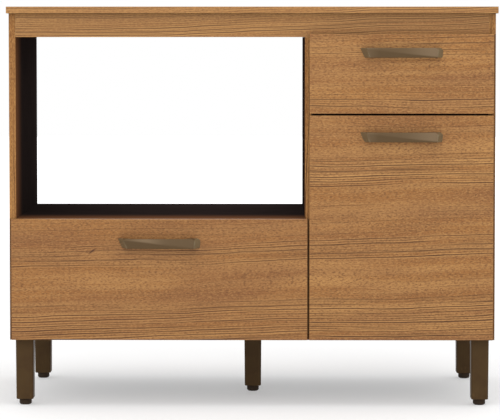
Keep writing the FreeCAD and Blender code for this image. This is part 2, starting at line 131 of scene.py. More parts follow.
class CabinetMetal(bpy.types.PropertyGroup):
    """Colours of the handles, legs and fittings."""

    bronze: colour("Bronze", "Satin lacquer of the handles", 113, 92, 66)
    # Painted shade and painted light: darker and paler copies of the bronze for the lower facet and the
    # flanks.
    bronze_painted_shade: colour("Bronze, dark", "Lacquer of the facet that faces down", 86, 65, 36)
    bronze_painted_light: colour("Bronze, pale", "Lacquer of the flanks", 122, 107, 80)
    leg: colour("Leg", "Bronze-brown lacquer of the legs", 75, 56, 32)
    leg_shade: colour("Leg, dark", "Darker drift of the same lacquer", 70, 51, 29)
    foot: colour("Foot", "Nylon of the feet", 50, 35, 20)
    zinc: colour("Zinc", "Plated steel of slides and screws", 186, 188, 190)
    nickel: colour("Nickel", "Plated steel of the hinges", 200, 197, 190)
    cam: colour("Cast zinc", "Cam locks", 168, 168, 164)
    nail_spacing: length("Nail spacing", "Distance between the nails of the back panels", 110.0)
    rubber: colour("Rubber", "Soft bumpers", 74, 66, 58)


class CabinetHandle(bpy.types.PropertyGroup):
    """Sizes of the bow handles, as the maker's drawing would give them."""

    length: length("Length", "Length over both ends", 186.0)
    flare: length("Flare", "Run of each flank from the foot to the crown", 13.0)
    slant: length("Slant", "Lean of the left end", 10.0)
    nose: length("Nose", "Set-back of the lower right corner", 2.0)
    nose_round: length("Nose round", "Radius of the upper right corner", 9.0)
    twist: length("Twist", "Fall of the two low corners of the front", 5.5)
    bar: length("Bar", "Thickness of the bar", 8.0)
    foot: length("Foot", "Length of each foot along the front", 17.0)
    edge_round: length("Edge round", "Radius of the long edges", 1.3)
    crown_round: length("Crown round", "Softness of the bends", 2.5)
    columns: IntProperty(name="Columns", description="Grid columns along the handle", default=150, min=20)
    rows: IntProperty(name="Rows", description="Grid rows across the handle", default=30, min=8)


class CabinetStage(bpy.types.PropertyGroup):
    """Camera, lights and floor."""

    camera_x: length("Camera X", "Place of the camera, to the right of the middle", 44.4)
    camera_y: length("Camera Y", "Place of the camera, in front of the cabinet", -5683.7)
    camera_z: length("Camera Z", "Height of the camera", 826.5)
    pitch: angle("Pitch", "How far the camera looks down", 2.836)
    turn: angle("Turn", "How far the camera looks to the left", 0.515)
    lens: number("Lens", "Focal length, in millimetres", 175.09, unit="CAMERA")
    sensor: number("Sensor", "Width of the camera's sensor, in millimetres", 36.0, unit="CAMERA")
    shift: number("Shift", "Vertical shift of the picture", -0.1)
    floor_size: length("Floor size", "Width of the floor", 30000.0)
    floor: colour("Floor", "Pale studio floor", 205, 205, 205)
    glow: number("Floor glow", "Strength of the light that the floor gives off", 0.35)
    sky: number("Sky", "Strength of the even light from all round", 1.0)
    key: number("Key light", "Power of the softbox in front", 26.0, unit="POWER")
    top: number("Top light", "Power of the softbox above", 30.0, unit="POWER")


SETTINGS = {
    "cabinet_wood": CabinetWood,
    "cabinet_metal": CabinetMetal,
    "cabinet_handle": CabinetHandle,
    "cabinet_stage": CabinetStage,
}


class Value:
    """A number, colour or vector that a node gives out. Arithmetic on it adds Math nodes."""

    def __init__(self, finish, socket):
        self.finish = finish
        self.socket = socket

    def maths(self, operation, *others):
        """One Math node of this value and others."""
        return self.finish.maths(operation, self, *others)

    def __add__(self, other):
        return self.maths("ADD", other)

    def __radd__(self, other):
        return self.maths("ADD", other)

    def __sub__(self, other):
        return self.maths("SUBTRACT", other)

    def __rsub__(self, other):
        return self.finish.maths("SUBTRACT", other, self)

    def __mul__(self, other):
        return self.maths("MULTIPLY", other)

    def __rmul__(self, other):
        return self.maths("MULTIPLY", other)

    def __truediv__(self, other):
        return self.maths("DIVIDE", other)

    def __rtruediv__(self, other):
        return self.finish.maths("DIVIDE", other, self)

    def __pow__(self, other):
        return self.maths("POWER", other)

    def __abs__(self):
        return self.maths("ABSOLUTE")

    def over(self, limit):
        """One where the value is above the limit, else nought."""
        return self.maths("GREATER_THAN", limit)

    def under(self, limit):
        """One where the value is below the limit, else nought."""
        return self.maths("LESS_THAN", limit)

    def least(self, other):
        """The lower of two values."""
        return self.maths("MINIMUM", other)

    def most(self, other):
        """The higher of two values."""
        return self.maths("MAXIMUM", other)

    def ease(self, low, high):
        """Smooth step from nought at low to one at high."""
        sockets = {"Value": self, "From Min": low, "From Max": high}
        return self.finish.add("ShaderNodeMapRange", {"interpolation_type": "SMOOTHSTEP"}, sockets)


class Finish:
    """Builds the node tree of one material. Its place is the three object coordinates, in metres."""

    def __init__(self, name):
        self.material = bpy.data.materials.new(name)
        self.material.use_nodes = True
        self.tree = self.material.node_tree
        self.tree.nodes.clear()
        self.place = self.coordinates("Object")

    def add(self, kind, settings=None, sockets=None, output=0):
        """Adds any node: its settings first, then the values or links of its sockets."""
        node = self.tree.nodes.new(kind)
        for key, value in (settings or {}).items():
            setattr(node, key, value)
        for key, value in (sockets or {}).items():
            if isinstance(value, Value):
                self.tree.links.new(value.socket, node.inputs[key])
            else:
                node.inputs[key].default_value = value
        return Value(self, node.outputs[output]) if len(node.outputs) else node

    def coordinates(self, kind):
        """The three parts of the coordinates called Object or Normal."""
        point = self.add("ShaderNodeTexCoord", output=kind)
        split = self.add("ShaderNodeSeparateXYZ", None, {0: point}).socket.node
        return [Value(self, part) for part in split.outputs]

    def maths(self, operation, *terms):
        """A Math node of one operation."""
        return self.add("ShaderNodeMath", {"operation": operation}, dict(enumerate(terms)))

    def noise(self, x, y, z, detail=2.0, rough=0.5, distortion=0.0):
        """Smooth noise about one half, at a point of three values."""
        point = self.add("ShaderNodeCombineXYZ", None, {0: x, 1: y, 2: z})
        sockets = {"Vector": point, "Scale": 1.0}
        sockets.update({"Detail": detail, "Roughness": rough, "Distortion": distortion})
        return self.add("ShaderNodeTexNoise", {"noise_dimensions": "3D"}, sockets)

    def specks(self, counts, detail=2.0, rough=0.5, distortion=0.0):
        """The same noise over the object, by its counts to the metre: one, or one for each axis."""
        scaled = [part * float(count) for part, count in zip(self.place, np.broadcast_to(counts, 3))]
        return self.noise(*scaled, detail, rough, distortion)

    def attribute(self, name):
        """A number that the mesh keeps at its points. It is the node's output 2."""
        return self.add("ShaderNodeAttribute", {"attribute_name": name}, None, 2)

    def mix(self, factor, first, second):
        """Colour between the first, at nought, and the second, at one.

        The colours of a Mix node are its inputs 6 and 7 and its output 2.
        """
        first, second = (value if isinstance(value, Value) else (*value, 1.0) for value in (first, second))
        return self.add("ShaderNodeMix", {"data_type": "RGBA"}, {0: factor, 6: first, 7: second}, 2)

    def bump(self, height, depth, strength):
        """Normal of a relief of the given depth in metres."""
        return self.add("ShaderNodeBump", None, {"Height": height, "Distance": depth, "Strength": strength})

    def surface(self, **sockets):
        """Principled surface into the output. Names use underscores for spaces."""
        named = {key.replace("_", " "): value for key, value in sockets.items()}
        shader = self.add("ShaderNodeBsdfPrincipled", None, named)
        self.add("ShaderNodeOutputMaterial", None, {"Surface": shader})
        return self.material


# Belts of close growth lines: height in the print, half height, and strength of the lines.
BELTS = (
    (0.192, 0.048, 1.1),
    (0.337, 0.012, 0.8),
    (0.360, 0.014, 0.8),
    (0.524, 0.036, 1.0),
    (0.677, 0.015, 0.6),
    (0.806, 0.028, 0.5),
    (0.868, 0.022, 1.2),
)

# Sorts of growth lines: spacing as a share of the mean one, half width as a share of that spacing,
# strength in the calm print and in a belt, and a key that sets them apart from the other sorts.
LINES = (
    (1.0, 0.115, 0.12, 1.4, 0.0),
    (0.45, 0.19, 0.05, 0.70, 31.0),
    (0.22, 0.22, 0.06, 0.30, 57.0),
)
FINEST_WITH_HALO = 0.4

# Knots: place along and across the print, half length, half height and darkness.
KNOTS = (
    (-0.359, 0.352, 0.036, 0.010, 1.0),
    (-0.016, 0.298, 0.050, 0.016, 0.25),
    (0.501, 0.478, 0.012, 0.007, 0.5),
)

# Where a board's print starts, along and across, by the axis that its grain runs along.
# On the fronts' faces the print's own height is then the height over the floor.
PRINT_START = {"x": (0.0, 0.24525), "y": (0.6, 0.3), "z": (1.7, 0.0)}


def ellipse(aside, above, half_length, half_height):
    """Distance from the middle of an ellipse, which is one at its edge."""
    return ((aside / half_length) ** 2.0 + (above / half_height) ** 2.0) ** 0.5


def grain(finish, wood, along, across, knots, loose):
    """Colour and relief of the wood print.

    The across coordinate is bent by slow noise, and stretched round each knot,
    so that the growth lines wave, climb a little and part round the knots.
    Lines lie at the borders of random cells along it, strong in the belts and
    weak between them, and fade in and out along their length. Loose is the
    strength of more belts at random heights. Dark dashes, pale glints and fine
    fibres fill the calm stretches.
    """
    slow = finish.noise(along * 2.2, across * 4.0, 3.1, 1.0)
    quick = finish.noise(along * 9.0, across * 40.0, 7.7)
    bent = across - along * wood.rise + (slow - 0.5) * (wood.wave * 2.0) + (quick - 0.5) * (6.0 * MM)
    parting = 0.75
    lean = 0.7
    core_length = 0.28
    core_height = 0.35
    heart = 0.0
    for x, z, half_length, half_height, darkness in knots:
        aside = along - x
        above = across - z
        near = 1.0 - ellipse(aside, above, half_length, half_height).ease(0.0, 1.0)
        bent = bent - near * parting * above
        core = ellipse(aside, above - aside * lean, half_length * core_length, half_height * core_height)
        heart = heart + (1.0 - core.ease(0.3, 1.0)) * darkness

    def streaks(count_along, count_across, key, detail=2.0):
        return finish.noise(along * count_along, bent * count_across, key, detail)

    belt = streaks(0.6, 11.0, 4.9, 1.0).ease(0.42, 0.60) * loose
    for height, half_height, strength in BELTS:
        belt = belt.most((1.0 - (abs(bent - height) / half_height).ease(0.6, 1.3)) * strength)
    lines = 0.0
    halos = 0.0
    for spacing, width, weak, strong, key in LINES:
        count = bent / (wood.line_spacing * spacing) + key
        cells = {"voronoi_dimensions": "1D", "feature": "DISTANCE_TO_EDGE"}
        edge = finish.add("ShaderNodeTexVoronoi", cells, {"W": count, "Scale": 1.0, "Randomness": 1.0})
        fade = streaks(3.2 / spacing, 130.0, key + 1.3).ease(0.38, 0.54)
        mark = fade * (weak + (strong - weak) * belt)
        lines = (1.0 - edge.ease(width * 0.3, width)) * mark + lines
        if spacing > FINEST_WITH_HALO:
            halo = edge.ease(width, width * 1.3) * (1.0 - edge.ease(width * 1.6, width * 3.0))
            halos = halo * mark + halos
    lines = lines.least(1.0)

    dash = streaks(150.0, 400.0, 5.9).ease(0.46, 0.64)
    glint = streaks(190.0, 380.0, 3.3, 1.0).ease(0.50, 0.66)
    fibre = streaks(90.0, 1300.0, 8.8, 1.0).ease(0.35, 0.65)
    calm = streaks(4.0, 26.0, 9.2).ease(0.30, 0.60)
    band = streaks(1.3, 30.0, 2.4).ease(0.40, 0.70)
    light = streaks(2.2, 60.0, 6.6).ease(0.36, 0.64)
    cloud = streaks(4.2, 12.0, 6.1).ease(0.36, 0.64)

    body = finish.mix(light * 0.75, wood.honey, wood.pale)
    body = finish.mix(band * 0.34 + cloud * 0.36, body, wood.russet)
    body = finish.mix(dash * (0.58 + 0.22 * calm), body, wood.pore)
    body = finish.mix(glint * 0.46, body, wood.pale)
    body = finish.mix(fibre * 0.25, body, wood.pore)
    body = finish.mix(halos * 0.40, body, wood.pale)
    body = finish.mix(lines * 0.9, body, wood.line)
    if knots:
        body = finish.mix(heart, body, wood.line)
    return body, 1.0 - lines * 0.6 - dash * 0.4


def grain_axes(finish, normal, run):
    """Places along and across a grain that runs along one axis, or along another on the ends it crosses."""
    x, y, z = finish.place
    along, level, turned = {"x": (x, z, y), "y": (y, z, x), "z": (z, x, y)}[run]
    start_along, start_across = PRINT_START[run]
    along = along + start_along
    across = level + turned + start_across
    end = abs(normal["xyz".index(run)]).over(0.8)
    return along + (turned - along) * end, across - turned * end


def sides(normal, names):
    """One on the sides that are named by the way they face, such as -y, else nought."""
    total = 0.0
    for name in names.split():
        part = normal["xyz".index(name[1])]
        total = (part.over(0.6) if name[0] == "+" else part.under(-0.6)) + total
    return total


def printed_face(finish, wood, normal, along, across,
                 knots=(), loose=0.55, paler=0.0, covered=0.0, painted_shade_hem=0.0, warmer=None):
    """Colour and relief of the print on a board, and its rounded edges, which carry a painted highlight.

    Paler is a share of the print's light colour in all of it, as painted light. Below the height
    given for the shade, the front edge stands behind a drawer or the door and is darkened as painted shade.
    The print is darkened as painted shade along a lower edge at the height of the shade line. Warmer is an X
    and
    a share: to the left of that X the print has this much more of its russet.
    """
    x, _, z = finish.place
    body, relief = grain(finish, wood, along, across, knots, loose)
    # Painted light: a share of the pale colour mixed into all the print.
    if paler:
        body = finish.mix(paler, body, wood.pale)
    # Painted highlight: the rounded edges are mixed towards the pale colour, as where light catches them.
    bevel = 1.0 - abs(normal[0]).most(abs(normal[1])).most(abs(normal[2]))
    rounded = bevel.ease(0.02, 0.25)
    body = finish.mix(rounded * 0.35, body, wood.pale)
    # Painted shade: below the given height the front edge is darkened, as the fronts beside it shade it.
    if covered:
        body = finish.mix(z.under(covered) * sides(normal, "-y") * 0.6, body, wood.line)
    if warmer:
        limit, more = warmer
        body = finish.mix(x.under(limit) * more, body, wood.russet)
    # Painted shade: the print darkens towards the lower edge of the fronts.
    if painted_shade_hem:
        body = finish.mix((1.0 - (z - painted_shade_hem).ease(0.6 * MM, 2.6 * MM)) * 0.5, body, wood.line)
    return body, relief, rounded


def painted_shade_film(finish, wood, along, across, painted_light_depth):
    """Colour, streaks and specks of the film inside, near black-brown as painted shade, with a paler brown as
    painted light near the front.
    """
    speck = finish.specks(500.0)
    streak = finish.noise(along * 12.0, across * 260.0, 2.2, 3.0)
    body = finish.mix(streak.ease(0.40, 0.70), wood.inner, wood.inner_shade_line)
    # Painted light: the paler brown fades from the front edge inwards over the given depth.
    if painted_light_depth:
        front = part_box("base_board")[0][1]
        painted_light_inward = 1.0 - (finish.place[1] - front).ease(0.0, painted_light_depth)
        body = finish.mix(painted_light_inward * (0.75 + 0.25 * speck), body, wood.inner_painted_light)
    return body, streak, speck


def chip_colour(finish, wood):
    """Colour and relief of raw chipboard: flat chips of two sizes, light and dark."""
    coarse = finish.specks((260.0, 260.0, 420.0), 2.0, 0.6)
    fine = finish.specks((900.0, 900.0, 1400.0), 2.0, 0.6)
    body = finish.mix(coarse.ease(0.42, 0.60), shaded(wood.chip, 0.62), wood.chip)
    body = finish.mix(fine.ease(0.50, 0.72) * 0.6, body, shaded(wood.chip, 1.45))
    return body, coarse * 0.5 + fine * 0.5


def board(name, wood, printed="", raw="", run="x", painted_light_depth=0.0, cutout=None, sheen=0.3, **look):
    """Laminated board: print on some sides, raw core on others, dark film on the rest.

    Sides are named by the way they face, such as -y, and the grain runs along
    one axis. The dark faces are near black-brown as painted shade. The depth of
    painted light is how far a paler brown, standing for light that reaches in at
    the front, runs in from the front edge of the dark faces. Upright faces inside
    the two corners of a cutout are raw. A board with less sheen than the full one
    has a coat on its print instead. The look is what printed_face takes.
    """
    full_sheen = 0.3
    finish = Finish(name)
    normal = finish.coordinates("Normal")
    along, across = grain_axes(finish, normal, run)
    body, streak, speck = painted_shade_film(finish, wood, along, across, painted_light_depth)
    height = streak
    coat = 0.0
    if printed:
        wooden, relief, rounded = printed_face(finish, wood, normal, along, across, **look)
        show = (sides(normal, printed) + rounded.over(0.05)).least(1.0)
        body = finish.mix(show, body, wooden)
        height = show * relief + (1.0 - show) * (streak * 0.4 + speck * 0.6)
        if sheen < full_sheen:
            coat = show * (full_sheen - sheen)
    if raw or cutout:
        bare = sides(normal, raw)
        if cutout:
            x, y, _ = finish.place
            (x0, y0), (x1, y1) = cutout
            within = x.over(x0) * x.under(x1) * y.over(y0) * y.under(y1)
            bare = (within * abs(normal[2]).under(0.9) + bare).least(1.0)
        chip, chip_relief = chip_colour(finish, wood)
        body = finish.mix(bare, body, chip)
        height = height + (chip_relief - height) * bare
    return finish.surface(
        Base_Color=body,
        Roughness=wood.roughness + 0.1 * (1.0 - height),
        Normal=finish.bump(height, 0.06 * MM, 0.4),
        Specular_IOR_Level=sheen,
        Coat_Weight=coat,
        Coat_Roughness=0.4,
    )


def hardboard(wood):
    """Brown fibre board with felted fibres, a faint screen mark and the joint between the two backs."""
    finish = Finish("fibre_board")
    x, y, z = finish.place
    screen_turn = 4200.0
    joint_half = 0.8 * MM
    felt = finish.specks(240.0, 4.0, 0.7, 1.4)
    cloud = finish.specks(9.0, 3.0)
    wires = (x * screen_turn).maths("SINE") * (y * screen_turn + z * screen_turn).maths("SINE")
    screen = wires * 0.5 + 0.5
    body = finish.mix(felt.ease(0.35, 0.65), shaded(wood.hardboard, 0.66), wood.hardboard)
    body = finish.mix(cloud.ease(0.35, 0.7) * 0.35, body, shaded(wood.hardboard, 1.3))
    low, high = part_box("back_panel_left")
    joint = abs(x - high[0]).under(joint_half) * y.over(low[1])
    body = finish.mix(joint, body, wood.inner)
    return finish.surface(
        Base_Color=body,
        Roughness=0.72 + 0.1 * felt,
        Normal=finish.bump(felt * 0.7 + screen * 0.3, 0.12 * MM, 0.5),
        Specular_IOR_Level=0.2,
    )


def lacquer(name, tint, shade):
    """Satin lacquer: its finish, its colour with bright flecks, its drift of tone and its orange peel."""
    finish = Finish(name)
    drift = finish.specks(30.0, 3.0)
    fleck = finish.specks(2600.0, 1.0)
    peel = finish.specks(700.0)
    body = finish.mix(drift.ease(0.35, 0.65), shade, tint)
    body = finish.mix(fleck.ease(0.60, 0.80) * 0.3, body, shaded(tint, 1.7))
    return finish, body, drift, peel


def handle_finish(metal):
    """Bronze lacquer of the handles, with painted shade on the facet that faces down and painted light on the
    flanks.
    """
    finish, body, drift, peel = lacquer("bronze_lacquer", metal.bronze, metal.bronze)
    # Painted shade on the facet that faces down, a painted highlight patch on the other, painted light on the
    # flanks.
    body = finish.mix(finish.attribute("facet"), body, metal.bronze_painted_shade)
    body = finish.mix(finish.attribute("flank"), body, metal.bronze_painted_light)
    return finish.surface(
        Base_Color=body,
        Metallic=0.3,
        Roughness=0.42 + 0.08 * drift,
        Normal=finish.bump(peel, 0.03 * MM, 0.3),
        Specular_IOR_Level=0.4,
    )


def leg_finish(metal):
    """Brown lacquer of the legs, rubbed paler at the lower end."""
    finish, body, drift, peel = lacquer("brown_lacquer", metal.leg, metal.leg_shade)
    low = 1.0 - finish.place[2].ease(0.0, 60.0 * MM)
    scuff = finish.specks((160.0, 160.0, 60.0), 3.0).ease(0.55, 0.70)
    body = finish.mix(low * scuff * 0.5, body, shaded(metal.leg, 1.8))
    return finish.surface(
        Base_Color=body,
        Metallic=0.15,
        Roughness=0.46 + 0.1 * drift,
        Normal=finish.bump(peel, 0.04 * MM, 0.3),
        Specular_IOR_Level=0.12,
    )


def moulding(name, tint, rough):
    """Moulded plastic or rubber with a fine spark-eroded grain."""
    finish = Finish(name)
    pebble = finish.specks(1500.0)
    drift = finish.specks(60.0)
    body = finish.mix(drift.ease(0.35, 0.7), shaded(tint, 0.75), tint)
    return finish.surface(
        Base_Color=body,
        Roughness=rough + 0.1 * drift,
        Normal=finish.bump(pebble, 0.03 * MM, 0.4),
        Specular_IOR_Level=0.2,
    )


def plated(name, tint, rough, slots=()):
    """Plated steel drawn along Y, with dull patches, and rows of dark slots at two given heights."""
    finish = Finish(name)
    drawn = finish.specks((1800.0, 30.0, 1800.0), 3.0)
    patch = finish.specks((45.0, 25.0, 45.0), 3.0).ease(0.35, 0.7)
    body = finish.mix(patch, shaded(tint, 0.78), tint)
    body = finish.mix(drawn.ease(0.5, 0.8) * 0.35, body, shaded(tint, 0.55))
    metallic = 1.0
    if slots:
        _, y, z = finish.place
        pitch = 64.0 * MM
        half_height = 2.4 * MM
        half_length = 4.8 * MM
        off = abs(z - slots[0]).least(abs(z - slots[1]))
        run = ((y + 1.0) / pitch).maths("FRACT") - 0.5
        slot = off.under(half_height) * abs(run).under(half_length / pitch)
        body = finish.mix(slot, body, shaded(WHITE, 0.01))
        metallic = 1.0 - slot
    return finish.surface(
        Base_Color=body,
        Metallic=metallic,
        Roughness=rough + 0.15 * patch,
        Normal=finish.bump(drawn, 0.02 * MM, 0.3),
    )


def dress(material, *nodes):
    """Put one material on CAD nodes, through the slots of their objects."""
    for node in nodes:
        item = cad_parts[node]
        if not item.material_slots:
            item.data.materials.append(None)
        for place in item.material_slots:
            place.link = "OBJECT"
            place.material = material


def skin(name, points, faces, material, smooth=40.0):
    """A mesh object of given points and faces, welded, turned outwards and smoothed."""
    mesh = bpy.data.meshes.new(name)
    mesh.from_pydata(points.reshape(-1, 3).tolist(), [], faces)
    weld = bmesh.new()
    weld.from_mesh(mesh)
    bmesh.ops.remove_doubles(weld, verts=weld.verts, dist=1e-6)
    bmesh.ops.dissolve_degenerate(weld, edges=weld.edges, dist=1e-7)
    bmesh.ops.recalc_face_normals(weld, faces=weld.faces)
    weld.to_mesh(mesh)
    weld.free()
    mesh.polygons.foreach_set("use_smooth", [True] * len(mesh.polygons))
    mesh.set_sharp_from_angle(angle=math.radians(smooth))
    mesh.materials.append(material)
    item = bpy.data.objects.new(name, mesh)
    bpy.context.scene.collection.objects.link(item)
    return item


def tube_faces(rings, around):
    """Quads between neighbouring rings of a closed tube, and one face over each end."""
    index = np.arange(rings * around).reshape(rings, around)
    turned = np.roll(index, -1, axis=1)
    quads = np.stack([index[:-1], turned[:-1], turned[1:], index[1:]], axis=-1).reshape(-1, 4)
    return [*quads.tolist(), index[0][::-1].tolist(), index[-1].tolist()]


def grid_faces(rows, columns):
    """Quads of an open grid."""
    index = np.arange(rows * columns).reshape(rows, columns)
    quads = np.stack([index[:-1, :-1], index[:-1, 1:], index[1:, 1:], index[1:, :-1]], axis=-1)
    return quads.reshape(-1, 4).tolist()


def blend_low(first, second, softness):
    """The lower of two heights, with the corner between them rounded."""
    return 0.5 * (first + second - np.sqrt((first - second) ** 2 + softness**2))


def blend_high(first, second, softness):
    """The higher of two heights, with the corner between them rounded."""
    return 0.5 * (first + second + np.sqrt((first - second) ** 2 + softness**2))


def rounded_corner(z, edge, radius):
    """How far a vertical end steps back at height z where its corner at the edge is round."""
    into = np.clip(np.abs(z) - (abs(edge) - radius), 0.0, radius) * (np.sign(z) == np.sign(edge))
    return radius - np.sqrt(radius**2 - into**2)


def handle_shape(shape, half, up, reach):
    """Rings of a bow handle, as points along X, outwards and along Z.

    Stations run from end to end of the slanted outline, closer together at the
    ends. Each ring is a rectangle with four quarter rounds, whose back follows
    the inner bow and whose front is the lower of the sloping flank and of two
    facets that fall away on both sides of the diagonal.
    """
    crowding = 0.11
    round_steps = 7
    tip = 0.6 * MM
    lower_round = 2.5 * MM
    left_round = 3.0 * MM
    bow_round = 1.5 * MM
    ridge_round = 0.07
    bedded = 0.1 * MM
    least_wall = 0.4 * MM

    run = np.linspace(0.0, 1.0, shape.columns)
    station = (run - crowding * np.sin(2 * np.pi * run))[:, None]
    flat = np.linspace(-1.0, 1.0, shape.rows)
    turn = np.linspace(0.0, np.pi / 2, round_steps)
    climb = np.sin(turn)
    into = 1 - np.cos(turn)
    one = np.ones(round_steps)
    level = np.concatenate([flat, one, one, -one, -one])
    lift = np.concatenate([flat * 0, climb, climb[::-1], -climb, -climb[::-1]])
    front = np.concatenate([flat * 0 + 1, one, one * 0, one * 0, one])
    sink = np.concatenate([flat * 0, -into, into[::-1], into, -into[::-1]])

    middle = np.minimum(station, 1 - station) * 2 * half
    thick = np.minimum(middle * reach / shape.flare, reach) + tip
    thin = np.minimum(thick, np.where(middle > shape.foot, shape.bar, thick))
    soft = np.minimum(shape.edge_round, 0.4 * thin)
    z = level * (up - soft) + lift * soft
    share_up = (z + up) / (2 * up)
    left = -half + shape.slant * (1 - share_up)
    left = left + rounded_corner(z, -up, lower_round) + rounded_corner(z, up, left_round)
    right = half - shape.nose * (1 - share_up)
    right = right - rounded_corner(z, up, shape.nose_round) - rounded_corner(z, -up, lower_round)
    x = left + station * (right - left)
    end = np.minimum(x - left, right - x)

    ridge = (x + half) / (2 * half) + share_up - 1
    facets = reach - shape.twist * (np.sqrt(ridge**2 + ridge_round**2) - ridge_round)
    flank = tip + end * reach / shape.flare
    outer = blend_low(flank, facets, shape.crown_round)
    bow = blend_high((end - shape.foot) * (reach - shape.bar) / shape.flare, 0.0, bow_round)
    inner = blend_low(bow, reach - shape.bar, bow_round) - bedded
    inner = np.minimum(inner, outer - least_wall)
    out = inner + front * (outer - inner) + sink * soft
    return np.stack([x, out, z], axis=-1)


def handle_tones(points, shape, half, up, shine):
    """Share of painted shade on the facet and of painted light on the flank, at points measured from the
    handle's middle.

    The facet under the diagonal is darkened as painted shade. The other has a painted highlight in a patch
    that falls off as a bell curve does, and shine is the place and the width of that
    patch, as shares of the length, and how much paler the left end is, as a painted highlight. A flank
    is painted paler as painted light, and is as wide as the flare, measured from the slanted end.
    """
    patch_place, patch_width, left_gleam = shine
    side = points[:, 0]
    along = side / (2 * half)
    share_down = 0.5 - points[:, 2] / (2 * up)
    # Painted shade below the diagonal, painted highlight in the bright patch and at the left end.
    below = np.clip(0.5 - (along + 0.5 - share_down) / 0.16, 0.0, 1.0)
    bright = 0.08 + 0.92 * np.exp(-(((along - patch_place) / patch_width) ** 2))
    far_left = np.clip((-0.28 - along) / 0.12, 0.0, 1.0)
    end = np.minimum(side + half - shape.slant * share_down, half - shape.nose * share_down - side)
    return {
        "facet": np.maximum(below, 1.0 - bright) - left_gleam * far_left,
        "flank": np.clip((shape.flare - end) / (2.0 * MM) + 0.5, 0.0, 1.0) * np.where(side < 0, 0.7, 1.0),
    }


def foot_shape(radius, top):
    """Rings of a levelling foot: a chamfered pad with finger ribs, and its stem up to the top.

    The radius at each height is a profile, less a wave of ribs between the chamfers.
    """
    ribs = 24
    rib_height = 0.35 * MM
    around = 120
    profile = MM * np.array([
        (0.0, 0.0), (10.5, 0.0), (11.3, 0.3), (13.9, 3.0), (14.0, 3.4),
        (14.0, 4.2), (14.0, 10.4), (14.0, 11.2), (13.9, 11.7), (12.8, 12.9),
        (12.4, 13.0), (6.0, 13.0), (4.0, 13.2), (4.0, 0.0), (0.0, 0.0),
    ])
    profile[-2:, 1] = top
    ribbed = np.zeros((len(profile), 1))
    ribbed[5:7] = 1.0
    turn = np.linspace(0.0, 2 * np.pi, around, endpoint=False)
    wave = rib_height * (1 + np.cos(ribs * turn)) * ribbed
    distance = profile[:, :1] * (radius / profile[:, 0].max()) - wave
    height = np.repeat(profile[:, 1:], around, axis=1)
    return np.stack([distance * np.cos(turn), distance * np.sin(turn), height], axis=-1)


# Heads of screws, cam locks and nails, in millimetres: radius, height, half width and depth of the
# cross recess, radius of the neck, and length of the shank.
HEADS = {
    "handle screw": (4.2, 2.2, 0.6, 1.3, 2.0, 23.8),
    "cam lock": (7.4, 0.0, 1.1, 2.2, 7.4, 11.6),
    "nail": (3.2, 0.4, 0.2, 0.0, 1.0, 2.5),
    "hinge screw": (3.4, 1.6, 0.5, 0.9, 1.5, 0.6),
    "hinge adjuster": (3.0, 0.7, 0.5, 0.9, 2.0, 1.0),
}


def head_shape(kind):
    """Grid of a domed head with a cross recess, its side, its neck and its shank.

    A square grid is pressed onto the disc, so that its lines run along the
    cross. The recess is where one of the two crossing bars is near.
    """
    radius, height, slot, depth, neck, shank = HEADS[kind]
    lines = np.linspace(-1, 1, 31)
    arm = 0.56 * radius
    dome = 0.3
    u, v = np.meshgrid(lines, lines)
    x = u * np.sqrt(1 - v**2 / 2) * radius
    y = v * np.sqrt(1 - u**2 / 2) * radius
    near = np.minimum(
        np.maximum(np.abs(x) / slot, np.abs(y) / arm),
        np.maximum(np.abs(y) / slot, np.abs(x) / arm),
    )
    cross = np.clip((1.15 - near) / 0.3, 0.0, 1.0)
    z = height * (1 - dome * ((x**2 + y**2) / radius**2) ** 2) - depth * cross
    grid = np.stack([x, y, z], axis=-1)
    for level, reach in ((0.0, radius), (0.0, neck), (-shank, neck), (-shank, 0.0)):
        grid = np.pad(grid, ((1, 1), (1, 1), (0, 0)), mode="edge")
        rim = np.ones(grid.shape[:2], dtype=bool)
        rim[1:-1, 1:-1] = False
        edge = grid[rim][:, :2]
        scale = reach / np.maximum(np.linalg.norm(edge, axis=1, keepdims=True), 1e-9)
        grid[rim] = np.concatenate([edge * np.minimum(scale, 1.0), np.full((len(edge), 1), level)], axis=1)
    return grid * MM


def stamp(name, grid, places, material, body):
    """One piece made of the same grid set at many places, each a centre and a direction."""
    points = []
    faces = []
    count = grid.shape[0] * grid.shape[1]
    pattern = grid_faces(*grid.shape[:2])
    for order, (centre, direction) in enumerate(places):
        turn = np.array(Vector(direction).to_track_quat("Z", "Y").to_matrix())
        points.append(grid.reshape(-1, 3) @ turn.T + np.array(centre))
        faces.extend([[corner + order * count for corner in quad] for quad in pattern])
    item = skin(name, np.concatenate(points), faces, material)
    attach(item, body)
    return item


def handle_screws(steel):
    """Two screws for each handle, from the inside of its front."""
    head = head_shape("handle screw")
    radius = HEADS["handle screw"][0] * MM
    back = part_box("door_panel")[1][1]
    for body in ("wide_drawer", "small_drawer", "door"):
        node = body + "_handle_screws"
        low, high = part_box(node)
        middle = (low[2] + high[2]) / 2
        places = [((x, back, middle), BACK) for x in (low[0] + radius, high[0] - radius)]
        item = stamp(body + "_recessed_screws", head, places, steel, body)
        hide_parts(node)


